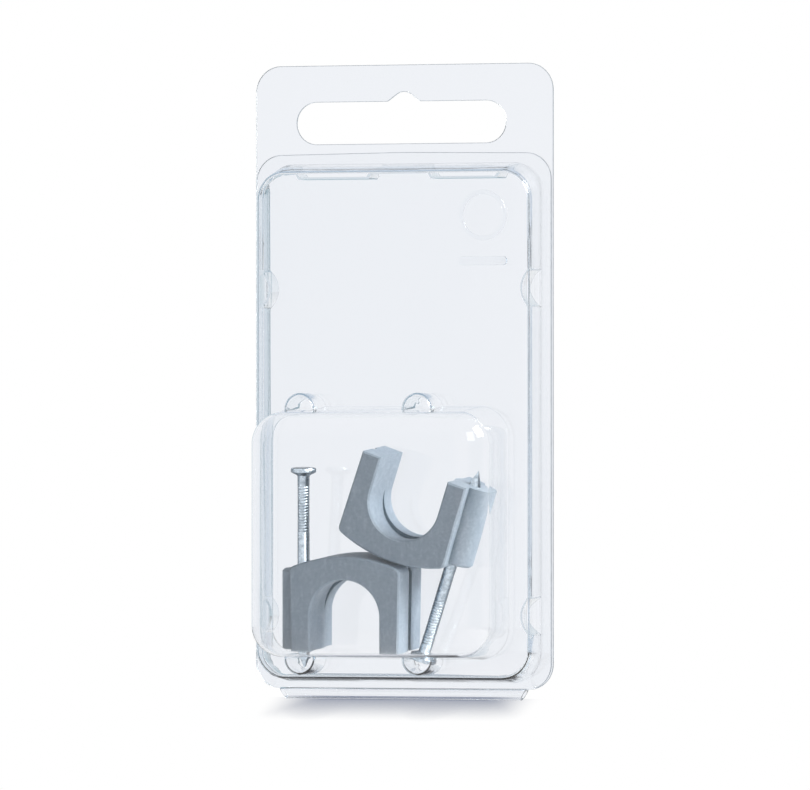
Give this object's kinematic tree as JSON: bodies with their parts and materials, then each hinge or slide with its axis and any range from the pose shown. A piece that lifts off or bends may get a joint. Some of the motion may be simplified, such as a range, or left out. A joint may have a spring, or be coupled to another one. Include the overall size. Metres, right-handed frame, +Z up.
{
  "type": "plastic clamshell pack",
  "caption": "Clear folded clamshell pack with a hang slot, a raised frame and a pocket that holds grey round cable clips with nails.",
  "frame": {"origin": "the crown of the hang slot, where a hook bears, on the plane where the two leaves meet", "axes": "+Z up the pack, +X to the viewer's right, the front faces -Y"},
  "size_m": [0.0474, 0.0179, 0.0949],
  "materials": {
    "clear_sheet": "clear glossy formed sheet",
    "clip_plastic": "satin moulded grey",
    "zinc_steel": "bright zinc plating"
  },
  "bodies": {
    "back_leaf": {"back_shell": "clear_sheet"},
    "front_leaf": {"front_shell": "clear_sheet", "cable_clip_lower": "clip_plastic", "nail_lower": "zinc_steel", "cable_clip_upper": "clip_plastic", "nail_upper": "zinc_steel"}
  },
  "joints": [
    {"name": "fold_hinge", "type": "hinge", "parent": "back_leaf", "child": "front_leaf", "pos_m": [0, 0, -0.09084], "axis": [1, 0, 0], "range_deg": [0, 180]}
  ]
}
